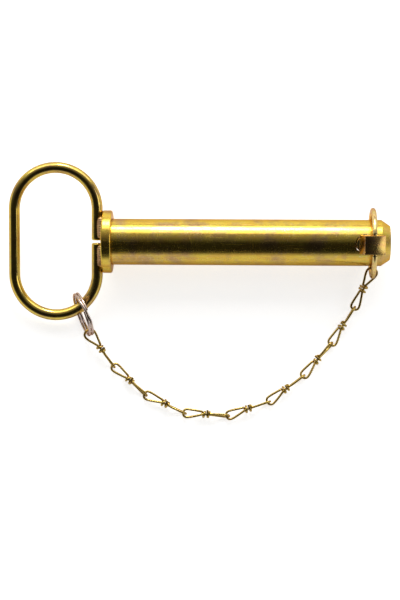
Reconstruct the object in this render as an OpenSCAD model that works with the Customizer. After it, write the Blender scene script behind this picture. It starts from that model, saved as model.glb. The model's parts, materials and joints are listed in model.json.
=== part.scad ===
// Top link pin with a swing handle, a keeper chain and a linchpin, lying as it comes to rest.
// The origin is on the pin's axis, at the seating face of the collar. +X runs along the
// pin to its tip and +Z is up. The collar, the split ring and the linchpin's ring touch
// the floor, so the pin, its handle and the linchpin are rolled about X.

/* [Pin] */
// Diameter of the shank
shank_d = 25; // [16:0.5:32]
// Length of the shank from the collar's seating face to the tip
shank_l = 150; // [120:1:190]
// Length of the chamfer at the tip
tip_l = 4.7; // [2:0.1:8]
// Depth of the chamfer at the tip, measured on the radius
tip_depth = 3.2; // [1:0.1:5]
// Diameter of the collar
collar_d = 34; // [30:0.5:44]
// Thickness of the collar
collar_t = 5.3; // [3:0.1:9]
// Rounding of the collar's edges
collar_round = 0.9; // [0.3:0.1:1.4]
// Distance from the cross hole's centre to the tip
hole_to_tip = 14; // [11:0.5:20]

/* [Handle] */
// Diameter of the handle's rod
rod_d = 6; // [4:0.25:8]
// Width of the handle over its rod, along the pin
handle_w = 51; // [44:1:62]
// Height of the handle over its rod, across the pin
handle_h = 86; // [76:1:104]
// Gap between the butted ends of the rod
rod_gap = 1.5; // [0.5:0.1:3]
// Radius of the weld beads
bead_r = 2.3; // [1.5:0.1:3]
// Height at which the split ring under it holds the handle's low side
handle_lift = 3; // [2.4:0.1:4]

/* [Linchpin] */
// Diameter of the linchpin's shank
linch_d = 9.5; // [6:0.25:11]
// Clearance on the diameter between the linchpin and its hole
linch_clear = 0.9; // [0.4:0.1:1.5]
// How far the linchpin's point stands out of the pin
point_out = 3; // [2:0.5:6]
// Height of the linchpin's head
head_h = 9; // [7:0.5:12]
// Gap between the pin and the head
head_gap = 3; // [1:0.5:5]
// Width of the head, across the pin
head_w = 10; // [8:0.5:12]
// Length of the head's nose from the linchpin's axis, towards the tip
head_nose = 10.2; // [8:0.2:12]
// Diameter of the wire of the linchpin's ring
ring_wire = 2.8; // [2:0.1:4]
// Gap between the ring's back and the pin
ring_gap = 0.5; // [0.5:0.1:1.5]
// Depth of each hinge hole in the head
hinge_depth = 3.4; // [2:0.1:4]

/* [Split ring] */
// Outside diameter of the split ring
split_d = 24.8; // [23:0.2:30]
// Diameter of the split ring's wire
split_wire = 1.4; // [1:0.1:1.6]

/* [Chain] */
// Distance from link to link
pitch = 23.4; // [21:0.2:26]
// Diameter of the chain's wire
wire = 1.3; // [1:0.1:1.5]
// Width of a loop over its wire
loop_w = 6; // [5.4:0.1:7]
// Width of the two end loops, which hold the rings
end_loop_w = 7.5; // [6.8:0.1:8.4]

/* [Hidden] */
$fn = 96;

gold = [0.80, 0.66, 0.30];
bronze = [0.62, 0.50, 0.28];

// Small clearance between pieces that touch on the real part
slack = 0.12;

// Pin
hole_x = shank_l - hole_to_tip;
hole_d = linch_d + linch_clear;

// Handle: a round rod bent to an oval, with its ends butted behind the collar
strand_x = -collar_t - rod_d / 2;
bend_r = (handle_w - rod_d) / 2;
straight = handle_h - handle_w;
oval_x = strand_x - bend_r;
bead_l = 12;
bead_from = 1.6;

// Roll of the pin about X, with the collar on the floor and the handle on the split ring
floor_z = -collar_d / 2;
roll = asin(((collar_d - rod_d) / 2 - handle_lift) / (handle_h / 2 - rod_d / 2));

// Linchpin and its ring, in the rolled frame. The ring's wire ends beside the head, where
// a thinner peg on each end turns in the hinge hole.
head_z = shank_d / 2 + head_gap;
head_back = 3.2;
point_l = 5;
hinge_x = hole_x + 4.6;
hinge_z = head_z + head_h / 2;
peg_d = ring_wire - 0.6;
hinge_d = peg_d + 2 * slack;
peg_in = head_w / 2 - hinge_depth + slack;
peg_out = head_w / 2 + 0.8;
ring_low = shank_d / 2 + ring_gap + ring_wire / 2;
ring_open = 2 * atan(peg_out / (hinge_z + ring_low));
ring_r = peg_out / sin(ring_open);
ring_z = ring_r - ring_low;

// Split ring: two turns of wire side by side, threaded on the handle's lower bend.
// Its place is taken from the centre of that bend.
split_turn = split_wire + 0.1;
split_r = (split_d - split_wire) / 2;
split_at = [15.4, -21.6, 6.41];
split_heading = -70.4;
split_lean = 74.2;

// Chain
loops = 9;
sides = 8;
hook = wire / 2 + 0.15;
hook_gap = 0.28;
half = pitch / 2 + hook;
coil_r = wire + 0.1;
coil_l = wire + 0.1;
coil_in = (wire + slack) / 2;
coil_out = coil_in + coil_l;
tail = 1.2 * wire;
lie_z = floor_z + loop_w / 2 + 0.15;
hook_a = 20;
split_hook = -12;
// Turn of each link about its own length, from lying with its first loop flat
turns = [-2, -8, 10, -6, 6, 8, -10, 6, 16];
// Twist between the loops of the last link, which meets the linchpin's ring flat
last_twist = 0;

function rolled(p) = [
    p.x, p.y * cos(roll) - p.z * sin(roll), p.y * sin(roll) + p.z * cos(roll)
];
function unit(v) = v / norm(v);
function total(list, i = 0) =
    i == len(list) - 1 ? list[i] : list[i] + total(list, i + 1);

// Split ring's centre and axes in the row frame
split_c = rolled([oval_x, -straight / 2, 0] + split_at);
split_x = rolled([cos(split_heading), sin(split_heading), 0]);
split_n = rolled([
    sin(split_heading) * sin(split_lean), -cos(split_heading) * sin(split_lean),
    cos(split_lean)
]);
split_y = cross(split_n, split_x);

// Middle of each ring's wire where the chain hangs on it
on_split = split_c + split_r * (cos(split_hook) * split_x + sin(split_hook) * split_y);
on_ring = rolled([hinge_x, -ring_r * cos(hook_a), ring_z - ring_r * sin(hook_a)]);

// Plan of the chain: the links' headings have tangents that rise in equal steps of k from
// link number m, where the chain runs along X. The steps between are at the lying height.
function step_z(i, a, b) = i == 0 ? a.z : i == loops ? b.z : lie_z;
function step_l(i, a, b) =
    sqrt(pow(pitch, 2) - pow(step_z(i + 1, a, b) - step_z(i, a, b), 2));
function heading(i, k, m) = atan(k * (i - m));
function reach(a, b, k, m) = total([
    for (i = [0 : loops - 1])
        step_l(i, a, b) * [cos(heading(i, k, m)), sin(heading(i, k, m))]
]);
function find_m(a, b, k, lo, hi, n = 30) =
    let (mid = (lo + hi) / 2, r = reach(a, b, k, mid))
    n == 0 ? mid :
    r.y * (b.x - a.x) > (b.y - a.y) * r.x ? find_m(a, b, k, mid, hi, n - 1)
                                          : find_m(a, b, k, lo, mid, n - 1);
function find_k(a, b, lo, hi, n = 30) =
    let (mid = (lo + hi) / 2, r = reach(a, b, mid, find_m(a, b, mid, -4, loops + 4)))
    n == 0 ? mid :
    norm(r) > norm([b.x - a.x, b.y - a.y]) ? find_k(a, b, mid, hi, n - 1)
                                           : find_k(a, b, lo, mid, n - 1);
// Interlocks of the chain from a to b
function route(a, b) =
    let (k = find_k(a, b, 0.02, 3), m = find_m(a, b, k, -4, loops + 4))
    [for (i = 0, p = a; i <= loops;
          p = i == loops ? p : [p.x + step_l(i, a, b) * cos(heading(i, k, m)),
                                p.y + step_l(i, a, b) * sin(heading(i, k, m)),
                                step_z(i + 1, a, b)],
          i = i + 1) p];

// The end loops pass round the rings' wires, so the end interlocks lie inside the rings
split_pull = (split_wire + wire) / 2 + 4 * hook_gap - hook;
ring_pull = (ring_wire + wire) / 2 + 3 * hook_gap - hook;
middles = route(on_split, on_ring);
joints = route(
    on_split - split_pull * unit(middles[1] - middles[0]),
    on_ring + ring_pull * unit(middles[loops] - middles[loops - 1])
);

// One turn of a round bar about Z, from angle a0 through da
module bar_arc(r, d, a0, da) {
    rotate([0, 0, a0]) rotate_extrude(angle = da) translate([r, 0]) circle(d = d, $fn = 48);
}

// Round wire swept along a list of points, with flat ends
module swept(path, d) {
    n = len(path);
    dirs = [for (i = [0 : n - 1])
        unit(path[min(i + 1, n - 1)] - path[max(i - 1, 0)])];
    frames = carried(dirs, unit(cross(dirs[0], [0.31, 0.42, 0.85])));
    points = [for (i = [0 : n - 1], j = [0 : sides - 1])
        let (a = 360 * j / sides)
        path[i] + d / 2 * (cos(a) * frames[i] + sin(a) * cross(dirs[i], frames[i]))];
    skin = [for (i = [0 : n - 2], j = [0 : sides - 1])
        let (k = (j + 1) % sides)
        each [[i * sides + j, (i + 1) * sides + k, i * sides + k],
              [i * sides + j, (i + 1) * sides + j, (i + 1) * sides + k]]];
    caps = [[for (j = [0 : sides - 1]) j],
            [for (j = [sides - 1 : -1 : 0]) (n - 1) * sides + j]];
    polyhedron(points, concat(skin, caps), convexity = 10);
}

// A normal carried along the wire without twist
function carried(dirs, normal) = [
    for (i = 0, v = normal; i < len(dirs);
         i = i + 1, v = i < len(dirs) ? unit(v - (v * dirs[i]) * dirs[i]) : v) v
];

// Corners cut once, a quarter from each end of every span
function eased(p) = concat(
    [p[0]],
    [for (i = [0 : len(p) - 2]) each [0.75 * p[i] + 0.25 * p[i + 1],
                                      0.25 * p[i] + 0.75 * p[i + 1]]],
    [p[len(p) - 1]]
);

module pin_profile() {
    r = shank_d / 2;
    collar_r = collar_d / 2;
    q = collar_round;
    difference() {
        polygon([
            [0, -collar_t], [collar_r, -collar_t], [collar_r, 0], [r, 0],
            [r, shank_l - tip_l], [r - tip_depth, shank_l], [0, shank_l]
        ]);
        for (side = [0, 1])
            translate([collar_r, side ? 0 : -collar_t]) mirror([0, side]) difference() {
                translate([-q, -1]) square([q + 1, q + 1]);
                translate([-q, q]) circle(r = q, $fn = 48);
            }
    }
}

module pin() {
    color(gold) rotate([roll, 0, 0]) difference() {
        rotate([0, 90, 0]) rotate_extrude() pin_profile();
        translate([hole_x, 0, 0]) cylinder(h = collar_d, d = hole_d, center = true);
    }
}

module handle() {
    color(gold) rotate([roll, 0, 0]) {
        for (side = [-1, 1]) {
            translate([oval_x, side * straight / 2, 0])
                bar_arc(bend_r, rod_d, side > 0 ? 0 : 180, 180);
            translate([strand_x, side * (rod_gap + straight) / 4, 0]) rotate([90, 0, 0])
                cylinder(h = (straight - rod_gap) / 2, d = rod_d, center = true, $fn = 48);
        }
        translate([oval_x - bend_r, 0, 0]) rotate([90, 0, 0])
            cylinder(h = straight, d = rod_d, center = true, $fn = 48);
    }
}

// Four beads in the notches between the rod and the collar's back face
module handle_weld() {
    color("rosybrown") rotate([roll, 0, 0]) difference() {
        for (side = [-1, 1], face = [-1, 1])
            translate([-collar_t - 0.9, side * (bead_from + bead_l / 2), face * rod_d * 0.38])
                rotate([90, 0, 0]) cylinder(h = bead_l, r = bead_r, center = true, $fn = 48);
        translate([-collar_t, -collar_d, -collar_d]) cube(2 * collar_d);
        translate([strand_x, 0, 0]) rotate([90, 0, 0])
            cylinder(h = collar_d, d = rod_d, center = true, $fn = 48);
    }
}

module linch_profile() {
    r = linch_d / 2;
    point = -shank_d / 2 - point_out;
    polygon([
        [0, point], [r * 0.4, point], [r * 0.78, point + point_l / 2],
        [r, point + point_l], [r, head_z + 0.5], [0, head_z + 0.5]
    ]);
}

module head_outline() {
    polygon([
        [-head_back, 0], [head_nose - 1.4, 0], [head_nose, 1], [head_nose, head_h * 0.72],
        [4.4, head_h], [-head_back + 2.4, head_h], [-head_back + 1.6, head_h - 1]
    ]);
}

module linchpin() {
    color(gold) rotate([roll, 0, 0]) difference() {
        translate([hole_x, 0, 0]) union() {
            rotate_extrude() linch_profile();
            translate([0, 0, head_z]) rotate([90, 0, 0])
                linear_extrude(head_w, center = true) head_outline();
        }
        for (side = [-1, 1])
            translate([hinge_x, side * head_w / 2, hinge_z]) rotate([90, 0, 0])
                cylinder(h = 2 * hinge_depth, d = hinge_d, center = true, $fn = 48);
    }
}

// The ring hangs in a plane across the pin, with a peg at each end in the head
module linchpin_ring() {
    color(gold) rotate([roll, 0, 0]) translate([hinge_x, 0, ring_z]) rotate([90, 0, 90]) {
        bar_arc(ring_r, ring_wire, 90 + ring_open, 360 - 2 * ring_open);
        for (side = [-1, 1])
            translate([side * (peg_in + peg_out) / 2, hinge_z - ring_z]) rotate([0, 90, 0])
                cylinder(h = peg_out - peg_in, d = peg_d, center = true, $fn = 48);
    }
}

// Two turns side by side, which cross over to the next turn along one short stretch
module split_ring() {
    cross_a = 30;
    steps = 72;
    path = [for (i = [0 : steps])
        let (a = 720 * i / steps + 100,
             w = a - 460,
             shift = abs(w) < cross_a ? w / cross_a : sign(w))
        split_c + split_r * (cos(a) * split_x + sin(a) * split_y)
        + split_turn / 2 * shift * split_n];
    color("darkgray") swept(path, split_wire);
}

// One half of a link's wire, from its cut end to the middle of the link: a turn round
// the waist, the free leg out to the loop's end, and the straight leg back
function half_link(w) =
    let (h = (w - wire) / 2, c = half - h, out = coil_out)
    concat(
        [[coil_in, coil_r * cos(20) + tail * sin(20), coil_r * sin(20) * -1 - tail]],
        [for (a = [-330 : 45 : -15])
            [coil_in + coil_l * (a + 330) / 330, coil_r * cos(a) * 1.05,
             coil_r * sin(a) * 1.05]],
        [[out + 0.9, coil_r * 1.08, 0.1], [c - 0.6, h * 0.98, 0]],
        [for (a = [55, 18, -18, -55]) [c + h * cos(a) * 1.04, h * sin(a) * 1.1, 0]],
        [[c - 0.6, -h * 0.98, 0], [out + 1.1, -0.55, 0], [out - 0.4, 0, 0]]
    );

// A whole link about its middle: its second half is the first one turned end for end
// and twisted about the link's length
function link_path(w1, w2, twist) =
    let (a = half_link(w1), b = half_link(w2), c = cos(twist), s = sin(twist))
    concat(
        [for (p = a) [-p.x, p.y, p.z]],
        [for (i = [len(b) - 1 : -1 : 0])
            [b[i].x, b[i].y * c - b[i].z * s, b[i].y * s + b[i].z * c]]
    );

module link(i) {
    p = joints[i - 1];
    q = joints[i];
    along = unit(q - p);
    flat = unit(cross([0, 0, 1], along));
    up = cross(along, flat);
    t = turns[i - 1];
    side_axis = cos(t) * flat + sin(t) * up;
    up_axis = cross(along, side_axis);
    path = i == 1 ? link_path(end_loop_w, loop_w, 90) :
           i == loops ? link_path(loop_w, end_loop_w, last_twist) :
           link_path(loop_w, loop_w, 90);
    color(bronze) swept([
        for (s = eased(path))
            (p + q) / 2 + s.x * along + s.y * side_axis + s.z * up_axis
    ], wire);
}

pin();
handle();
handle_weld();
linchpin();
linchpin_ring();
split_ring();
link(1);  // link_1
link(2);  // link_2
link(3);  // link_3
link(4);  // link_4
link(5);  // link_5
link(6);  // link_6
link(7);  // link_7
link(8);  // link_8
link(9);  // link_9
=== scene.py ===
# %% [markdown]
# # A top link pin on a pale table
#
# A top link pin joins the upper arm of a tractor's linkage to an implement. This one is a
# turned steel pin with a collar, an oval pull handle welded to the collar, and a linchpin
# that hangs on a chain of knotted wire links. Nearly all of it is plated with yellow zinc.
#
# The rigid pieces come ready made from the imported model. This lesson gives them their
# finish, and draws the bent wires, the weld and the linchpin again as finer surfaces.

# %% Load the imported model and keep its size
import json
import math

import bmesh
import bpy
import numpy as np
from mathutils import Matrix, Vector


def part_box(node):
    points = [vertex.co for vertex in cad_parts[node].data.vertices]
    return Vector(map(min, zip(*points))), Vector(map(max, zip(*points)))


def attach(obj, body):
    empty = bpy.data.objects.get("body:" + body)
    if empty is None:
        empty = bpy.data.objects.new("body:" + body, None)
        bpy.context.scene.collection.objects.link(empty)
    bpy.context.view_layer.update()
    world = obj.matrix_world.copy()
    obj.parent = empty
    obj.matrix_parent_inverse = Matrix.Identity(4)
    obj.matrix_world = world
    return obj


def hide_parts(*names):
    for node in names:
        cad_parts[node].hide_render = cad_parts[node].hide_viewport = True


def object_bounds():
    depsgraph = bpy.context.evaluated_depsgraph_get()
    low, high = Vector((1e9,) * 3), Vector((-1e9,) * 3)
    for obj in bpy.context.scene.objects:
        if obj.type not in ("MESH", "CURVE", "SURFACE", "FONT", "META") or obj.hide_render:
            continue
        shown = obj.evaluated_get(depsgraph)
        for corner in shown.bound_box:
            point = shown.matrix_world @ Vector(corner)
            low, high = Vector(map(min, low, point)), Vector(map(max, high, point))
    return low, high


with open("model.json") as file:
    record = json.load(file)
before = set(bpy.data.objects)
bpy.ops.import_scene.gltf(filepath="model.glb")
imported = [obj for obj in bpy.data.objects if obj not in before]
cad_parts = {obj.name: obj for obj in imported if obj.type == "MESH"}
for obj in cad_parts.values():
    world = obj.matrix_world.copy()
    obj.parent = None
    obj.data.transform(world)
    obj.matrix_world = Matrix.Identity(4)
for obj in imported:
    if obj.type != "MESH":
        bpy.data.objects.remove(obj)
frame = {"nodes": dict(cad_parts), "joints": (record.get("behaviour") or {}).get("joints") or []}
cad_box = [list(map(float, corner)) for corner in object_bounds()]
nodes = frame["nodes"]
MM = 0.001
print("the model's box in millimetres", np.round(np.array(cad_box) / MM, 1).tolist())

# %% [markdown]
# ## The tilted frame
#
# The pin has rolled about its own axis until its collar and its handle lie down, so the
# handle, the linchpin and its ring share one tilted frame. The hinge of the linchpin's ring
# runs across the pin in that frame, so the roll can be read from its axis. Everything below
# is in millimetres, and becomes metres only when a mesh is made.

# %% Tilted frame
swing = next(joint for joint in frame["joints"] if joint["name"] == "ring_swing")
roll = math.atan2(-swing["axis"][2], -swing["axis"][1])
ALONG = np.array([1.0, 0.0, 0.0])
ACROSS = np.array([0.0, math.cos(roll), math.sin(roll)])
UPWARD = np.array([0.0, -math.sin(roll), math.cos(roll)])
FLOOR_Z = cad_box[0][2]


def tilted(points):
    """Points given along the pin, across it and upward from it, as row frame points."""
    return np.asarray(points, float) @ np.array([ALONG, ACROSS, UPWARD])


print("roll of the pin in degrees", round(math.degrees(roll), 2))

# %% [markdown]
# ## Camera
#
# The camera looks almost square on at the plane of the handle, so the pin lies across the
# picture and the chain hangs below it in a loop. A long lens from about a metre keeps the
# outlines true. Its three small turns are told apart as a camera operator would: a tilt
# about the pin, a pan about the picture's height, and a roll about the line of sight.

# %% Camera
PICTURE_H = 600
FOCAL = 1755.6
CAMERA_D = 954.0
SENSOR_H = 36
AIM = (47.59, -31.51, 0.0)
TILT, PAN, LEAN = (math.radians(a) for a in (5.11, -1.41, -0.33))


def turn_about(axis, angle):
    """Turn by angle about the axis of that number, as a 3 x 3 matrix."""
    return np.array(Matrix.Rotation(angle, 3, "XYZ"[axis]))


view_axes = (turn_about(2, LEAN) @ turn_about(1, PAN) @ turn_about(0, TILT)
             @ np.array([ALONG, ACROSS, UPWARD]))
camera_data = bpy.data.cameras.new("camera")
camera = bpy.data.objects.new("camera", camera_data)
bpy.context.scene.collection.objects.link(camera)
camera.location = (tilted(AIM) + CAMERA_D * view_axes[2]) * MM
camera.rotation_euler = Matrix(view_axes.T.tolist()).to_euler()
camera_data.sensor_fit = "VERTICAL"
camera_data.sensor_height = SENSOR_H
camera_data.lens = SENSOR_H * FOCAL / PICTURE_H
camera_data.clip_start = 0.01
bpy.context.scene.camera = camera
print("lens in millimetres", round(camera_data.lens, 1))

# %% [markdown]
# ## Floor
#
# The table is a plain pale sheet. It is lit like everything else, so it keeps the object's
# shadow, and some light of its own is added where the camera sees it, and less where a
# reflection does, so that it comes out white in the picture and pale in the bright metal.

# %% Floor
def new_material(name):
    """An empty node material, with its node tree and its principled shader."""
    material = bpy.data.materials.new(name)
    material.use_nodes = True
    tree = material.node_tree
    tree.nodes.clear()
    output = tree.nodes.new("ShaderNodeOutputMaterial")
    shader = tree.nodes.new("ShaderNodeBsdfPrincipled")
    tree.links.new(shader.outputs["BSDF"], output.inputs["Surface"])
    return material, tree, shader


def maths(tree, operation, first, second):
    """One Math node: either side may be a socket or a number."""
    node = tree.nodes.new("ShaderNodeMath")
    node.operation = operation
    for socket, value in zip(node.inputs, (first, second)):
        if isinstance(value, (int, float)):
            socket.default_value = value
        else:
            tree.links.new(value, socket)
    return node.outputs[0]


def ramp(tree, factor, stops):
    """A colour ramp: each stop is a place and a grey level or a colour."""
    node = tree.nodes.new("ShaderNodeValToRGB")
    elements = node.color_ramp.elements
    while len(elements) < len(stops):
        elements.new(0.5)
    for element, (place, level) in zip(elements, stops):
        element.position = place
        colour = (level,) * 3 if isinstance(level, (int, float)) else level
        element.color = (*colour, 1)
    tree.links.new(factor, node.inputs["Fac"])
    return node.outputs["Color"]


FLOOR_HALF = 2.5
GLOW_DIRECT, GLOW_MIRRORED = 0.74, 0.30
floor_mesh = bpy.data.meshes.new("floor")
corners = FLOOR_HALF * np.array([(-1, -1), (1, -1), (1, 1), (-1, 1)])
floor_mesh.from_pydata([(x, y, FLOOR_Z) for x, y in corners], [], [(0, 1, 2, 3)])
floor = bpy.data.objects.new("floor", floor_mesh)
bpy.context.scene.collection.objects.link(floor)
floor_material, tree, shader = new_material("pale_table")
shader.inputs["Base Color"].default_value = (0.86, 0.86, 0.85, 1)
shader.inputs["Roughness"].default_value = 0.8
shader.inputs["Specular IOR Level"].default_value = 0.1
seen = tree.nodes.new("ShaderNodeLightPath")
mirrored = maths(tree, "MULTIPLY", seen.outputs["Is Glossy Ray"], GLOW_MIRRORED)
direct = maths(tree, "MAXIMUM", seen.outputs["Is Camera Ray"],
               seen.outputs["Is Transmission Ray"])
direct = maths(tree, "MULTIPLY", direct, GLOW_DIRECT)
shader.inputs["Emission Color"].default_value = (1, 1, 1, 1)
tree.links.new(maths(tree, "MAXIMUM", mirrored, direct), shader.inputs["Emission Strength"])
floor_mesh.materials.append(floor_material)

# %% [markdown]
# ## Light
#
# Bright plating has hardly a look of its own: it shows what stands around it. A large soft
# lamp behind the pin draws the long bright band along its upper side, a small strong one
# whitens the band's middle, and one at the right lights the side of the linchpin's head. The
# room is the brighter of two ramps. One falls with height, so it is pale near the table. The
# other rises from front to back overhead, so the bright band passes through brown to black.

# %% Lamps
def soft_lamp(name, place, aim, size, power):
    """A rectangular lamp in metres that stands at place and faces aim."""
    data = bpy.data.lights.new(name, "AREA")
    data.shape = "RECTANGLE"
    data.size, data.size_y = size
    data.energy = power
    lamp = bpy.data.objects.new(name, data)
    bpy.context.scene.collection.objects.link(lamp)
    lamp.location = place
    toward = np.array(aim) - np.array(place)
    away = -toward / np.linalg.norm(toward)
    side = np.cross([0, 0, 1], away)
    side /= np.linalg.norm(side)
    axes = np.array([side, np.cross(away, side), away])
    lamp.rotation_euler = Matrix(axes.T.tolist()).to_euler()
    lamp.visible_camera = False


middle = (0.05, -0.02, 0.0)
soft_lamp("back_softbox", (0.05, 0.82, 0.58), middle, (1.9, 0.72), 7.0)
soft_lamp("back_strip", (0.05, 0.80, 0.50), middle, (0.26, 0.18), 2.6)
soft_lamp("right_softbox", (0.95, 0.02, 0.66), (0.14, 0.0, 0.0), (0.5, 0.5), 1.2)

# %% Room
world = bpy.data.worlds.new("studio")
bpy.context.scene.world = world
world.use_nodes = True
room = world.node_tree
background = room.nodes["Background"]
parts = room.nodes.new("ShaderNodeSeparateXYZ")
room.links.new(room.nodes.new("ShaderNodeTexCoord").outputs["Generated"],
               parts.inputs["Vector"])
wall = ramp(room, parts.outputs["Z"], [(0.10, 0.80), (0.33, 0.08), (0.55, 0.012)])
depth = maths(room, "ADD", maths(room, "MULTIPLY", parts.outputs["Y"], 0.5), 0.5)
ceiling = ramp(room, depth, [(0.36, 0.0), (0.50, 0.09), (0.62, 0.22), (0.80, 0.42)])
room.links.new(maths(room, "MAXIMUM", wall, ceiling), background.inputs["Strength"])
background.inputs["Color"].default_value = (1.0, 1.0, 1.0, 1)

bpy.context.scene.view_settings.view_transform = "Standard"

# %% [markdown]
# ## Effects that the finishes share
#
# Yellow zinc is bright zinc under a thin clear film, and the film breaks the light into
# patches of gold, pink and blue. Three effects are shared by all the plated pieces, so each
# is a node group with named inputs: the film's patches, the fine marks of handling, and
# small dull specks.

# %% Small helpers for node trees
def group_of(name, inputs, outputs):
    """A new shader node group with number inputs {name: value} and outputs {name: type}."""
    group = bpy.data.node_groups.new(name, "ShaderNodeTree")
    for title, value in inputs.items():
        socket = group.interface.new_socket(
            title, in_out="INPUT", socket_type="NodeSocketFloat"
        )
        socket.default_value = value
    for title, kind in outputs.items():
        group.interface.new_socket(title, in_out="OUTPUT", socket_type=kind)
    return group, group.nodes.new("NodeGroupInput"), group.nodes.new("NodeGroupOutput")


def use_group(tree, group, **values):
    """The group placed in a tree, with its own values: underscores stand for spaces."""
    node = tree.nodes.new("ShaderNodeGroup")
    node.node_tree = group
    for title, value in values.items():
        node.inputs[title.replace("_", " ")].default_value = value
    return node


def noise(tree, vector, scale, detail=3.0, roughness=0.5, distortion=0.0):
    """A noise texture on the given coordinates, with scale in features per metre."""
    node = tree.nodes.new("ShaderNodeTexNoise")
    tree.links.new(vector, node.inputs["Vector"])
    if isinstance(scale, (int, float)):
        node.inputs["Scale"].default_value = scale
    else:
        tree.links.new(scale, node.inputs["Scale"])
    node.inputs["Detail"].default_value = detail
    node.inputs["Roughness"].default_value = roughness
    node.inputs["Distortion"].default_value = distortion
    return node.outputs["Fac"]


def blend(tree, factor, first, second, mode="MIX"):
    """One colour Mix node: factor, first and second may be sockets or values."""
    node = tree.nodes.new("ShaderNodeMix")
    node.data_type = "RGBA"
    node.blend_type = mode
    for socket, value in ((node.inputs[0], factor), (node.inputs[6], first),
                          (node.inputs[7], second)):
        if isinstance(value, bpy.types.NodeSocket):
            tree.links.new(value, socket)
        else:
            socket.default_value = (*value, 1) if isinstance(value, tuple) else value
    return node.outputs[2]


def place_in(tree, stretch=(1, 1, 1)):
    """Object coordinates in metres, stretched along each axis."""
    mapping = tree.nodes.new("ShaderNodeMapping")
    mapping.inputs["Scale"].default_value = stretch
    tree.links.new(tree.nodes.new("ShaderNodeTexCoord").outputs["Object"],
                   mapping.inputs["Vector"])
    return mapping.outputs["Vector"]


# %% Film patches
def make_film():
    """Soft patches of film, drawn out along the pin, as gold, straw, pink, violet and green."""
    group, source, sink = group_of(
        "zinc_film", {"Patch size": 130.0, "Strength": 0.5},
        {"Tint": "NodeSocketColor"},
    )
    thick = noise(group, place_in(group, (0.22, 1, 1)), source.outputs["Patch size"],
                  4.0, 0.6, 0.8)
    tint = ramp(group, thick, [
        (0.28, (1.0, 0.86, 0.45)), (0.40, (1.0, 1.0, 0.80)), (0.48, (1.0, 0.90, 0.55)),
        (0.57, (0.98, 0.66, 0.55)), (0.63, (0.78, 0.66, 0.95)), (0.69, (0.75, 1.0, 0.85)),
        (0.76, (1.0, 0.95, 0.60)),
    ])
    mixed = blend(group, source.outputs["Strength"], (1.0, 1.0, 1.0), tint)
    group.links.new(mixed, sink.inputs["Tint"])
    return group


film_group = make_film()

# %% Handling marks
def make_marks():
    """Fine marks: noise stretched thin in two directions, kept only where it peaks."""
    group, source, sink = group_of(
        "handling_marks", {"Amount": 0.5},
        {"Height": "NodeSocketFloat", "Mask": "NodeSocketFloat"},
    )
    along = noise(group, place_in(group, (90, 1400, 1400)), 1.0, 2.0, 0.6)
    aslant = noise(group, place_in(group, (1200, 120, 700)), 1.0, 2.0, 0.6, 1.0)
    mask = ramp(group, maths(group, "MAXIMUM", along, aslant), [(0.62, 0.0), (0.72, 1.0)])
    fine = maths(group, "MULTIPLY", mask, source.outputs["Amount"])
    group.links.new(fine, sink.inputs["Mask"])
    group.links.new(maths(group, "MULTIPLY", fine, -1.0), sink.inputs["Height"])
    return group


marks_group = make_marks()

# %% Specks
def make_specks():
    """Small spots in drifts: the peaks of a fine noise where a coarse one is high."""
    group, source, sink = group_of(
        "specks", {"Speck size": 1400.0, "Amount": 0.5}, {"Mask": "NodeSocketFloat"}
    )
    here = place_in(group)
    spots = ramp(group, noise(group, here, source.outputs["Speck size"], 2.0, 0.7),
                 [(0.60, 0.0), (0.68, 1.0)])
    drifts = ramp(group, noise(group, here, 90.0, 2.0), [(0.42, 0.0), (0.62, 1.0)])
    both = maths(group, "MULTIPLY", spots, drifts)
    group.links.new(maths(group, "MULTIPLY", both, source.outputs["Amount"]),
                    sink.inputs["Mask"])
    return group


specks_group = make_specks()

# %% [markdown]
# ## Finishes
#
# All the plated pieces use one recipe with their own numbers: a base metal, how strongly the
# film tints it, how rough it is, and how many marks it carries. The recipe is a function, so
# the pin, the handle, the linchpin and the wires differ only in the values they are given.

# %% Plated metal
def plated(name, base, film=0.5, patch=130.0, rough=0.22, spread=0.16, marks=0.5,
           specks=0.4, speck_colour=(0.86, 0.84, 0.78), bump=0.12, grain=0.0, dull=None):
    """Bright metal under a tinted film, with marks, specks and a slightly uneven surface."""
    material, tree, shader = new_material(name)
    film_node = use_group(tree, film_group, Patch_size=patch, Strength=film)
    marks_node = use_group(tree, marks_group, Amount=marks)
    specks_node = use_group(tree, specks_group, Amount=specks)

    colour = blend(tree, 1.0, base, film_node.outputs["Tint"], "MULTIPLY")
    if dull:
        browned = ramp(tree, noise(tree, place_in(tree), 75.0, 4.0, 0.6),
                       [(0.48, 0.0), (0.66, 0.8)])
        colour = blend(tree, browned, colour, dull)
    colour = blend(tree, specks_node.outputs["Mask"], colour, speck_colour)
    tree.links.new(colour, shader.inputs["Base Color"])

    uneven = maths(tree, "MULTIPLY", noise(tree, place_in(tree), 420.0, 4.0, 0.6), spread)
    worn = maths(tree, "MULTIPLY", marks_node.outputs["Mask"], 0.25)
    total = maths(tree, "ADD", maths(tree, "ADD", uneven, worn), rough - spread / 2)
    tree.links.new(total, shader.inputs["Roughness"])
    shader.inputs["Metallic"].default_value = 1.0
    shader.inputs["Specular Tint"].default_value = (0.74, 0.54, 0.42, 1)

    waves = maths(tree, "MULTIPLY", noise(tree, place_in(tree), 150.0, 3.0), 0.6)
    height = maths(tree, "ADD", waves,
                   maths(tree, "MULTIPLY", marks_node.outputs["Height"], 0.10))
    if grain:
        coarse = maths(tree, "MULTIPLY", noise(tree, place_in(tree), 1500.0, 3.0, 0.6), grain)
        height = maths(tree, "ADD", height, coarse)
    surface = tree.nodes.new("ShaderNodeBump")
    surface.inputs["Strength"].default_value = bump
    surface.inputs["Distance"].default_value = 0.0006
    tree.links.new(height, surface.inputs["Height"])
    tree.links.new(surface.outputs["Normal"], shader.inputs["Normal"])
    return material


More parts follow.
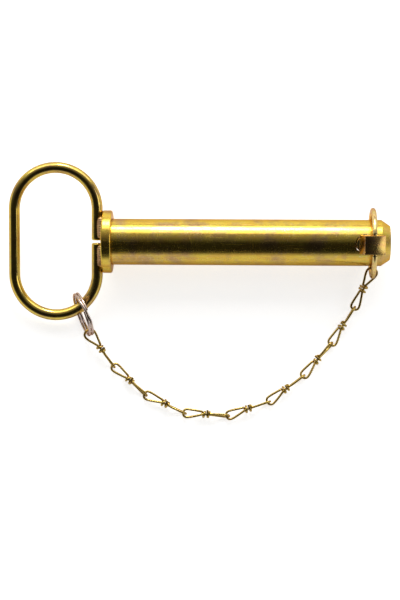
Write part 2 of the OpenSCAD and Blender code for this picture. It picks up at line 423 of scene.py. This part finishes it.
pin_finish = plated("pin_plating", (0.84, 0.61, 0.11), film=0.45, patch=210.0, rough=0.22,
                    dull=(0.52, 0.32, 0.16))
handle_finish = plated("handle_plating", (0.80, 0.60, 0.13), film=0.3, patch=200.0,
                       rough=0.17, marks=0.3, specks=0.2, dull=(0.46, 0.28, 0.12))
linchpin_finish = plated("linchpin_plating", (0.80, 0.58, 0.20), film=0.6, patch=260.0,
                         rough=0.24, marks=0.4, grain=0.3, dull=(0.36, 0.18, 0.10))
ring_finish = plated("linchpin_ring_plating", (0.84, 0.68, 0.32), film=0.6, patch=300.0,
                     rough=0.16, marks=0.2, specks=0.1)
split_finish = plated("split_ring_nickel", (0.66, 0.55, 0.50), film=0.3, patch=500.0,
                      rough=0.16, marks=0.2, specks=0.1)
chain_finish = plated("chain_wire_plating", (0.58, 0.43, 0.13), film=0.35, patch=420.0,
                      rough=0.20, marks=0.2, specks=0.15)
weld_finish = plated("weld_plating", (0.66, 0.44, 0.24), film=0.5, patch=500.0,
                     rough=0.34, marks=0.1, specks=0.3, bump=0.5, grain=0.8,
                     dull=(0.40, 0.22, 0.16))


def finish(piece, material):
    """Gives a piece one material in its only slot."""
    piece.data.materials.clear()
    piece.data.materials.append(material)


for node_name, material in (("pin", pin_finish), ("linchpin_ring", ring_finish)):
    finish(nodes[node_name], material)
print("finishes made:", len(bpy.data.materials))

# %% [markdown]
# ## Swept wire
#
# The chain, the split ring and the handle are all round wire or rod that was bent, and a
# bent wire is a circle carried along a path. The circle has to stay square to the path and
# must not spin about it. A first set of normals comes from one fixed direction, and a
# running total of the spin between neighbours is then taken out of them.

# %% A circle carried along a path
def unit(rows):
    """Each row made one unit long."""
    return rows / np.linalg.norm(rows, axis=-1, keepdims=True)


def wire_frames(path):
    """Directions of a path and normals that don't spin: the normals are square to a fixed
    direction, turned back by the sum of the small spins from each point to the next."""
    directions = unit(np.gradient(path, axis=0))
    spots = unit(np.random.default_rng(3).normal(size=(60, 3)))
    fixed = spots[np.argmin(np.abs(directions @ spots.T).max(axis=0))]
    normals = unit(np.cross(directions, fixed))
    ahead, here = normals[1:], normals[:-1]
    along = directions[1:]
    carried = here - np.sum(here * along, axis=1, keepdims=True) * along
    spin = np.arctan2(np.sum(np.cross(ahead, carried) * along, axis=1),
                      np.sum(ahead * carried, axis=1))
    back = np.r_[0, np.cumsum(spin)][:, None]
    normals = np.cos(back) * normals + np.sin(back) * np.cross(directions, normals)
    return directions, normals


def carry_circle(path, radii, sides, lobes=None):
    """Points of a tube: at each path point, the circle cos(a) N + sin(a) B times the radius
    there, or times its lobes, one radius for each point and side."""
    directions, normals = wire_frames(path)
    binormals = np.cross(directions, normals)
    angle = np.linspace(0, 2 * np.pi, sides, endpoint=False)
    circle = (np.cos(angle)[None, :, None] * normals[:, None]
              + np.sin(angle)[None, :, None] * binormals[:, None])
    reach = radii[:, None] if lobes is None else radii[:, None] * lobes
    return path[:, None] + reach[..., None] * circle


def tube_faces(count, sides):
    """Faces of a tube of count circles: quads along it, and a fan of triangles on each end
    to the two middle points that follow the circles in the list of points."""
    i, j = np.meshgrid(np.arange(count - 1), np.arange(sides), indexing="ij")
    k = (j + 1) % sides
    quads = np.stack([i * sides + j, i * sides + k, (i + 1) * sides + k,
                      (i + 1) * sides + j], -1).reshape(-1, 4)
    side = np.arange(sides)
    after = (side + 1) % sides
    start = np.stack([np.full(sides, count * sides), after, side], -1)
    last = (count - 1) * sides
    end = np.stack([np.full(sides, count * sides + 1), last + side, last + after], -1)
    return quads.tolist() + start.tolist() + end.tolist()


def swept(path, radius, sides=20, edge=0.15):
    """A wire of that radius along the path, whose cut ends are rounded: over the last edge
    of its length, the radius falls on a quarter circle."""
    path = np.asarray(path, float)
    run = np.r_[0, np.cumsum(np.linalg.norm(np.diff(path, axis=0), axis=1))]
    turn = np.linspace(0, np.pi / 2, 6)
    near = edge * (1 - np.cos(turn))
    places = np.r_[near, run[(run > 1.2 * edge) & (run < run[-1] - 1.2 * edge)],
                   run[-1] - near[::-1]]
    fall = edge * (1 - np.sin(turn))
    radii = np.full(len(places), float(radius))
    radii[:6] -= fall
    radii[-6:] -= fall[::-1]
    centres = np.stack([np.interp(places, run, path[:, axis]) for axis in range(3)], 1)
    rings = carry_circle(centres, radii, sides)
    points = np.concatenate([rings.reshape(-1, 3), centres[:1], centres[-1:]])
    return points, tube_faces(len(centres), sides)


def joined(shapes):
    """Several lists of points and faces made one."""
    starts = np.cumsum([0] + [len(points) for points, _ in shapes[:-1]])
    faces = [[corner + int(start) for corner in face]
             for (_, own), start in zip(shapes, starts) for face in own]
    return np.concatenate([points for points, _ in shapes]), faces


def new_piece(name, shape, body, material, replaced):
    """A smooth mesh in millimetres, made a piece that rides on a body and stands for a node."""
    points, faces = shape
    mesh = bpy.data.meshes.new(name)
    mesh.from_pydata((np.asarray(points) * MM).tolist(), [], faces)
    mesh.shade_smooth()
    piece = bpy.data.objects.new(name, mesh)
    bpy.context.scene.collection.objects.link(piece)
    finish(piece, material)
    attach(piece, body)
    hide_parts(replaced)
    own = np.array([points.min(0), points.max(0)])
    node = np.array([list(corner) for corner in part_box(replaced)]) / MM
    print(name, "differs from its node's box by at most",
          round(float(np.abs(own - node).max()), 2), "mm")


# %% [markdown]
# ## Handle
#
# The pull handle is a 6 mm rod bent to a long oval, whose two ends meet at the collar with a
# small gap between them. As a surface it is a circle carried along two straights and two
# half turns. Starting the path at one side of the gap and ending it at the other leaves the
# two cut ends where the real rod has them, a little rounded by the shears and the plating.

# %% Handle
ROD_D, HANDLE_W, HANDLE_H, ROD_GAP, COLLAR_T = 6.0, 51.0, 86.0, 1.5, 5.3
BEND_R = (HANDLE_W - ROD_D) / 2
STRAIGHT = HANDLE_H - HANDLE_W
STRAND_X = -COLLAR_T - ROD_D / 2
OVAL_X = STRAND_X - BEND_R


def handle_path():
    """The rod's middle line: down one strand, round the lower bend, up the far side, round
    the upper bend and down the other strand, in the plane of the pin's axis."""
    lower = np.radians(np.linspace(0, -180, 90))
    upper = np.radians(np.linspace(180, 0, 90))
    half = STRAIGHT / 2
    strand = np.linspace(ROD_GAP / 2, half, 24)[:-1]
    far = np.linspace(-half, half, 40)[1:-1]
    flat = np.concatenate([
        np.c_[np.full(len(strand), STRAND_X), -strand],
        np.c_[OVAL_X + BEND_R * np.cos(lower), -half + BEND_R * np.sin(lower)],
        np.c_[np.full(len(far), OVAL_X - BEND_R), far],
        np.c_[OVAL_X + BEND_R * np.cos(upper), half + BEND_R * np.sin(upper)],
        np.c_[np.full(len(strand), STRAND_X), strand[::-1]],
    ])
    return tilted(np.c_[flat, np.zeros(len(flat))])


new_piece("pull_handle", swept(handle_path(), ROD_D / 2, 48, 0.9), "pin",
          handle_finish, "handle")

# %% [markdown]
# ## Weld beads
#
# Four short beads of weld lie in the notches between the rod and the collar. A bead is a row
# of small overlapping puddles, so its section swells and narrows along its length, and no
# two puddles are alike. Each is a tube whose radius is a row of half waves with some
# unevenness round it. It is sunk in the rod and the collar, as weld metal is.

# %% Weld beads
BEAD_R, BEAD_FROM, BEAD_L = 2.3, 1.6, 12.0


def bead(side, face):
    """A tube along the collar's back: its radius is a row of half waves a millimetre and a
    bit long, times slow waves round and along it, and it closes in at both ends."""
    along = np.linspace(0, BEAD_L, 130)
    angle = np.linspace(0, 2 * np.pi, 40, endpoint=False)
    phase = 1.7 * side + 0.9 * face
    puddles = np.abs(np.sin(np.pi * along / 1.25 + phase))
    ends = np.sqrt(np.clip(1 - (np.abs(along / BEAD_L - 0.5) * 2) ** 6, 0, 1))
    radii = BEAD_R * (0.86 + 0.10 * puddles) * np.maximum(ends, 0.05)
    slow = (1 + 0.03 * np.sin(2 * angle[None] + 0.8 * along[:, None] + phase)
            + 0.012 * np.sin(5 * angle[None] - 2.1 * along[:, None]))
    line = np.stack([np.full_like(along, -COLLAR_T - 0.9),
                     side * (BEAD_FROM + along),
                     np.full_like(along, face * ROD_D * 0.38)], 1)
    rings = carry_circle(tilted(line), radii, len(angle), slow)
    points = np.concatenate([rings.reshape(-1, 3), tilted(line[:1]), tilted(line[-1:])])
    return points, tube_faces(len(along), len(angle))


beads = joined([bead(side, face) for side in (-1, 1) for face in (-1, 1)])
new_piece("weld_beads", beads, "pin", weld_finish, "handle_weld")

# %% [markdown]
# ## Linchpin
#
# The linchpin is a forged peg with a block for a head. Its outline is right already, but its
# edges are as sharp as they were cut, and a forging has soft ones that catch the light. So
# its mesh is copied and its loose triangles are joined, flat neighbours are merged into
# whole faces, and the Bevel modifier rounds what is sharper than 35 degrees.

# %% Linchpin with soft edges
SOFT_EDGE = 0.45
work = bmesh.new()
work.from_mesh(nodes["linchpin"].data)
bmesh.ops.remove_doubles(work, verts=work.verts, dist=2e-6)
bmesh.ops.dissolve_limit(work, angle_limit=math.radians(0.5), verts=work.verts,
                         edges=work.edges)
linchpin_mesh = bpy.data.meshes.new("linchpin_forging")
work.to_mesh(linchpin_mesh)
print("linchpin has", len(work.faces), "whole faces")
work.free()
linchpin_mesh.shade_smooth()
linchpin = bpy.data.objects.new("linchpin_forging", linchpin_mesh)
bpy.context.scene.collection.objects.link(linchpin)
bevel = linchpin.modifiers.new("soft_edges", "BEVEL")
bevel.width = SOFT_EDGE * MM
bevel.segments = 3
bevel.limit_method = "ANGLE"
bevel.angle_limit = math.radians(35)
bevel.harden_normals = True
finish(linchpin, linchpin_finish)
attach(linchpin, "pin")
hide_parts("linchpin")

# %% [markdown]
# ## Split ring
#
# The split ring is the kind that keys hang on: two turns of wire side by side, which cross
# over to each other along one short stretch, so that a link can be wound onto it. Its path
# is a circle walked twice, shifted to one side of its plane and then to the other.

# %% Split ring
# The shown wires are this much thinner in radius than the model's, so crossing ones stay apart.
INSET = 0.02
SPLIT_D, SPLIT_WIRE = 24.8, 1.4
SPLIT_R, SPLIT_TURN = (SPLIT_D - SPLIT_WIRE) / 2, SPLIT_WIRE + 0.1
# The ring's place is told from the centre of the handle's lower bend.
SPLIT_AT = (15.4, -21.6, 6.41)
HEADING, TIPPED = math.radians(-70.4), math.radians(74.2)
SPLIT_C = tilted(np.add((OVAL_X, -STRAIGHT / 2, 0), SPLIT_AT))
SPLIT_X = tilted((math.cos(HEADING), math.sin(HEADING), 0))
SPLIT_N = tilted((math.sin(HEADING) * math.sin(TIPPED),
                  -math.cos(HEADING) * math.sin(TIPPED), math.cos(TIPPED)))


def split_path():
    """Two turns of a circle from 100 degrees, half a wire to one side of its plane, then
    half a wire to the other, with the step between them spread over 60 degrees."""
    angle = np.linspace(100, 820, 420)
    shift = np.clip((angle - 460) / 30, -1, 1)
    a = np.radians(angle)[:, None]
    plane = np.cos(a) * SPLIT_X + np.sin(a) * np.cross(SPLIT_N, SPLIT_X)
    return SPLIT_C + SPLIT_R * plane + SPLIT_TURN / 2 * shift[:, None] * SPLIT_N


new_piece("key_ring", swept(split_path(), SPLIT_WIRE / 2 - INSET, 20, 0.2),
          "split_ring", split_finish, "split_ring")

# %% [markdown]
# ## Knotted chain
#
# Each link is one length of wire. From a cut end it winds once round the link's waist, runs
# out to a loop, and comes back to the waist, where the second half does the same turned by a
# quarter turn. The corners of one half are listed, the other half is its copy, and a smooth
# curve rounds every corner with a parabola from the middle of one span to the middle of the
# next. Then the link is set between two interlocks of the chain and turned about its length.

# %% One link's wire
PITCH, WIRE, LOOP_W, END_LOOP_W = 23.4, 1.3, 6.0, 7.5
HALF = PITCH / 2 + WIRE / 2 + 0.15
COIL_R = COIL_L = WIRE + 0.1
COIL_IN = (WIRE + 0.12) / 2
TAIL = 1.2 * WIRE


def half_link(width):
    """Corners of half a link: tail, one turn of the knot, free leg, loop and the leg back."""
    h = (width - WIRE) / 2
    c, out = HALF - h, COIL_IN + COIL_L
    tip = math.radians(20)
    turn = np.radians(np.arange(-330, 0, 45))
    knot = np.c_[COIL_IN + COIL_L * (turn / math.radians(330) + 1),
                 COIL_R * 1.05 * np.cos(turn), COIL_R * 1.05 * np.sin(turn)]
    bend = np.radians([55, 18, -18, -55])
    loop = np.c_[c + h * 1.04 * np.cos(bend), h * 1.1 * np.sin(bend), np.zeros(4)]
    return np.vstack([
        [COIL_IN, COIL_R * math.cos(tip) + TAIL * math.sin(tip),
         -COIL_R * math.sin(tip) - TAIL],
        knot,
        [out + 0.9, COIL_R * 1.08, 0.1], [c - 0.6, h * 0.98, 0],
        loop,
        [c - 0.6, -h * 0.98, 0], [out + 1.1, -0.55, 0], [out - 0.4, 0, 0],
    ])


def link_corners(first, second, twist):
    """Both halves of a link: the first mirrored end for end, the second twisted."""
    a, b = half_link(first) * (-1, 1, 1), half_link(second)[::-1]
    cos, sin = math.cos(math.radians(twist)), math.sin(math.radians(twist))
    return np.vstack([a, b @ np.array([[1, 0, 0], [0, cos, sin], [0, -sin, cos]])])


def rounded(corners, steps=5):
    """Parabolas from the middle of each span to the middle of the next, with the corner
    between them as the point they lean to."""
    middles = np.vstack([corners[:1], (corners[1:] + corners[:-1]) / 2, corners[-1:]])
    t = np.linspace(0, 1, steps, endpoint=False)[None, :, None]
    curve = ((1 - t) ** 2 * middles[:-1, None] + 2 * t * (1 - t) * corners[:, None]
             + t ** 2 * middles[1:, None])
    return np.vstack([curve.reshape(-1, 3), corners[-1:]])


# %% [markdown]
# ## Where the links meet
#
# The model turns a link about the place where it lies in the next, so the joints say where
# the inner interlocks are. At each end the link passes round a ring's wire instead, and its
# interlock lies a little past the middle of that wire. In plan, the slopes of the links rise
# in equal steps, so the slope of an end link is one step beyond its neighbour's. Its height
# is the wire's, plus the link's rise taken in the share that the pull is of a link's length.

# %% Interlocks
RING_WIRE, HOOK, HOOK_GAP = 2.8, WIRE / 2 + 0.15, 0.28
SPLIT_PULL = (SPLIT_WIRE + WIRE) / 2 + 4 * HOOK_GAP - HOOK
RING_PULL = (RING_WIRE + WIRE) / 2 + 3 * HOOK_GAP - HOOK
SPLIT_HOOK = math.radians(-12)
TURNS = (-2, -8, 10, -6, 6, 8, -10, 6, 16)
LOOPS = len(TURNS)

turning = {joint["name"]: np.array(joint["pos_m"]) / MM for joint in frame["joints"]}
inner = np.array([turning[f"link_{number}_turn"] for number in range(1, LOOPS)])
on_ring = turning[f"link_{LOOPS}_turn"]
on_split = SPLIT_C + SPLIT_R * (math.cos(SPLIT_HOOK) * SPLIT_X
                                + math.sin(SPLIT_HOOK) * np.cross(SPLIT_N, SPLIT_X))


def end_interlock(near, hung_on, pull, slope, way):
    """The end a link's length from near, forward or back along a plan slope, at the height
    of the ring's wire plus the pull's share of the link's rise."""
    z = hung_on[2] + pull * (hung_on[2] - near[2]) / PITCH
    run = way * math.sqrt(PITCH ** 2 - (z - near[2]) ** 2) / math.hypot(1, slope)
    return near[0] + run, near[1] + run * slope, z


steps = np.diff(inner, axis=0)
slopes = steps[:, 1] / steps[:, 0]
rise = (slopes[-1] - slopes[0]) / (len(slopes) - 1)
INTERLOCKS = np.vstack([
    end_interlock(inner[0], on_split, SPLIT_PULL, slopes[0] - rise, -1),
    inner,
    end_interlock(inner[-1], on_ring, RING_PULL, slopes[-1] + rise, 1),
])

# %% The chain
def link_path(number):
    """The wire of one link, set between its two interlocks and turned about its length."""
    p, q = INTERLOCKS[number - 1], INTERLOCKS[number]
    along = unit(q - p)
    flat = unit(np.cross([0, 0, 1], along))
    turn = math.radians(TURNS[number - 1])
    sideways = math.cos(turn) * flat + math.sin(turn) * np.cross(along, flat)
    widths = (END_LOOP_W if number == 1 else LOOP_W,
              END_LOOP_W if number == LOOPS else LOOP_W)
    corners = link_corners(*widths, 0 if number == LOOPS else 90)
    axes = np.array([along, sideways, np.cross(along, sideways)])
    return (p + q) / 2 + rounded(corners) @ axes


for number in range(1, LOOPS + 1):
    new_piece(f"chain_link_{number}", swept(link_path(number), WIRE / 2 - INSET, 18, 0.12),
              f"link_{number}", chain_finish, f"link_{number}")
